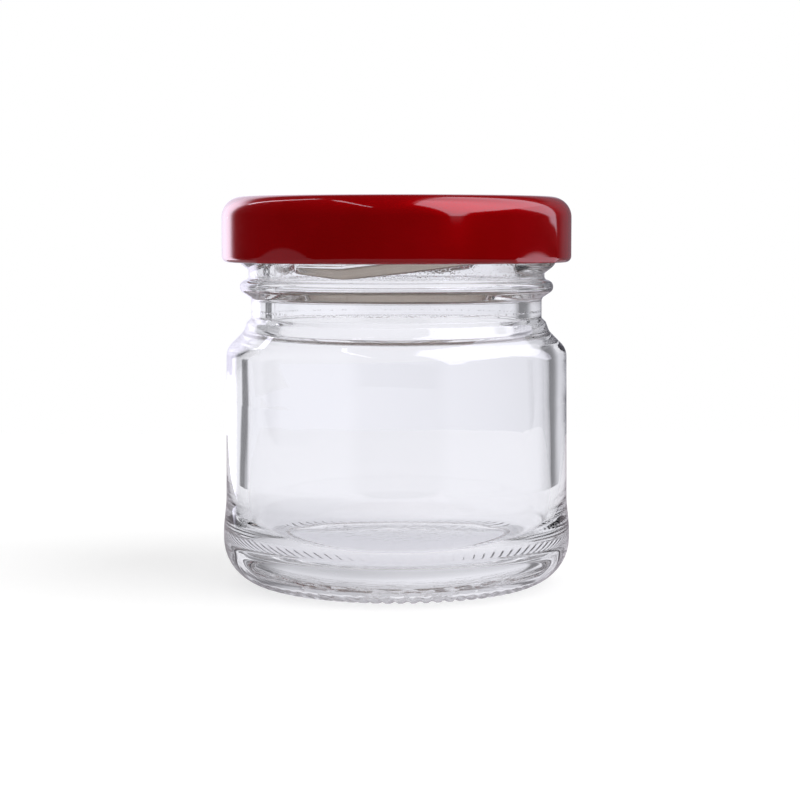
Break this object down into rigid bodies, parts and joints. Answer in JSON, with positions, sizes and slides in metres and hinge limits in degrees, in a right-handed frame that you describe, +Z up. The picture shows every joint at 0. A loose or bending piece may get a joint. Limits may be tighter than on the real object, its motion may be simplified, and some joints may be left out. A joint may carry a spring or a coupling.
{
  "type": "small screw-lid preserve jar",
  "caption": "Small round clear glass preserve jar, empty, with a thick base, short neck with a bead and slanting threads, closed by a glossy red metal twist-off lid.",
  "frame": {"origin": "centre of the ring that the jar stands on", "axes": "+Z up along the jar's axis to the lid, front towards -Y"},
  "size_m": [0.046, 0.046, 0.051],
  "materials": {
    "clear_glass": "clear, smooth",
    "red_enamel": "gloss, cream lacquer inside",
    "seal_compound": "satin"
  },
  "bodies": {
    "root": {"glass_jar": "clear_glass", "twist_lid": "red_enamel", "seal_ring": "seal_compound"}
  },
  "joints": []
}
